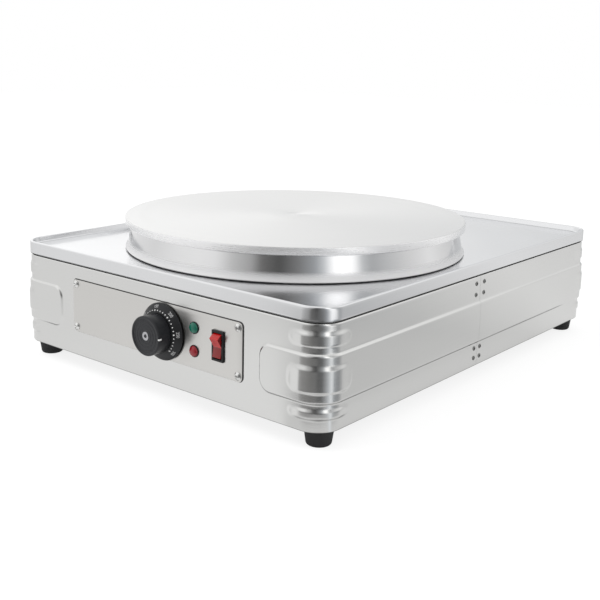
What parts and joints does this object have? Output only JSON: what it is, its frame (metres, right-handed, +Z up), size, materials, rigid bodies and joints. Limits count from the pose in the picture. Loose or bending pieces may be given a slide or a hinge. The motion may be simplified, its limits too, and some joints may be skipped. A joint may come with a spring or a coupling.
{
  "type": "electric crepe maker",
  "caption": "Countertop electric crepe maker: round turned griddle plate on an oblong stainless housing with thermostat knob, pilot lamps and rocker switch.",
  "frame": {"origin": "on the table, midway between the knob's face and the cable gland's end, on the housing's centre line", "axes": "+Z up, -Y to the front (control panel), +X to the right as seen from the front"},
  "size_m": [0.4544, 0.62, 0.1675],
  "materials": {
    "plate_aluminium": "fine-turned satin top, polished side",
    "casing_steel": "brushed stainless sheet",
    "deck_steel": "bright polished stainless sheet",
    "panel_steel": "fine brushed stainless sheet",
    "inner_steel": "plain zinc-plated sheet",
    "fastener_steel": "bright turned steel",
    "element_steel": "dark heat-tinted tube",
    "insulation_felt": "needled ceramic-fibre felt",
    "rubber_black": "matt moulded rubber",
    "dial_black": "matt moulded plastic, white printed scale",
    "knob_black": "matt moulded plastic",
    "knob_silver": "satin disc",
    "pointer_white": "white inlay",
    "lens_green": "translucent green lens, unlit",
    "lens_red": "translucent red lens, unlit",
    "switch_black": "matt nylon",
    "rocker_red": "glossy translucent red",
    "brass": "plain brass",
    "thermostat_case": "steatite and plated steel",
    "terminal_ceramic": "unglazed white ceramic",
    "capillary_copper": "copper tube",
    "gland_black": "black nylon"
  },
  "bodies": {
    "housing": {"cooking_plate": "plate_aluminium", "outer_heating_element": "element_steel", "inner_heating_element": "element_steel", "element_clamp_plate": "inner_steel", "insulation_pad": "insulation_felt", "plate_studs": "fastener_steel", "stud_sleeves": "fastener_steel", "stud_nuts": "fastener_steel", "thermostat_capillary": "capillary_copper", "deck_cover": "deck_steel", "deck_stiffener": "inner_steel", "front_plate_bearer": "inner_steel", "rear_plate_bearer": "inner_steel", "deck_screws": "fastener_steel", "front_shell": "casing_steel", "rear_shell": "casing_steel", "left_seam_strap": "inner_steel", "right_seam_strap": "inner_steel", "seam_rivets": "fastener_steel", "base_plate": "inner_steel", "base_screws": "fastener_steel", "foot_front_left": "rubber_black", "foot_front_right": "rubber_black", "foot_rear_left": "rubber_black", "foot_rear_right": "rubber_black", "foot_screws": "fastener_steel", "foot_nuts": "fastener_steel", "control_panel": "panel_steel", "panel_screws": "fastener_steel", "thermostat_body": "thermostat_case", "thermostat_nut": "fastener_steel", "dial_bezel": "dial_black", "green_lamp_lens": "lens_green", "green_lamp_body": "switch_black", "red_lamp_lens": "lens_red", "red_lamp_body": "switch_black", "lamp_nuts": "switch_black", "switch_frame": "switch_black", "switch_terminals": "brass", "terminal_block": "terminal_ceramic", "terminal_screws": "brass", "cable_gland": "gland_black", "gland_cap": "gland_black", "gland_locknut": "gland_black", "earth_stud": "brass", "earth_nuts": "brass"},
    "knob": {"thermostat_spindle": "fastener_steel", "knob_grip": "knob_black", "knob_cap": "knob_silver", "knob_pointer": "pointer_white"},
    "rocker": {"rocker_button": "rocker_red"}
  },
  "joints": [
    {"name": "knob_turn", "type": "hinge", "parent": "housing", "child": "knob", "pos_m": [0.0185, -0.2897, 0.0755], "axis": [0, 1, 0], "range_deg": [-225, 45]},
    {"name": "rocker_press", "type": "hinge", "parent": "housing", "child": "rocker", "pos_m": [0.0964, -0.2822, 0.07675], "axis": [1, 0, 0], "range_deg": [-24, 0]}
  ]
}
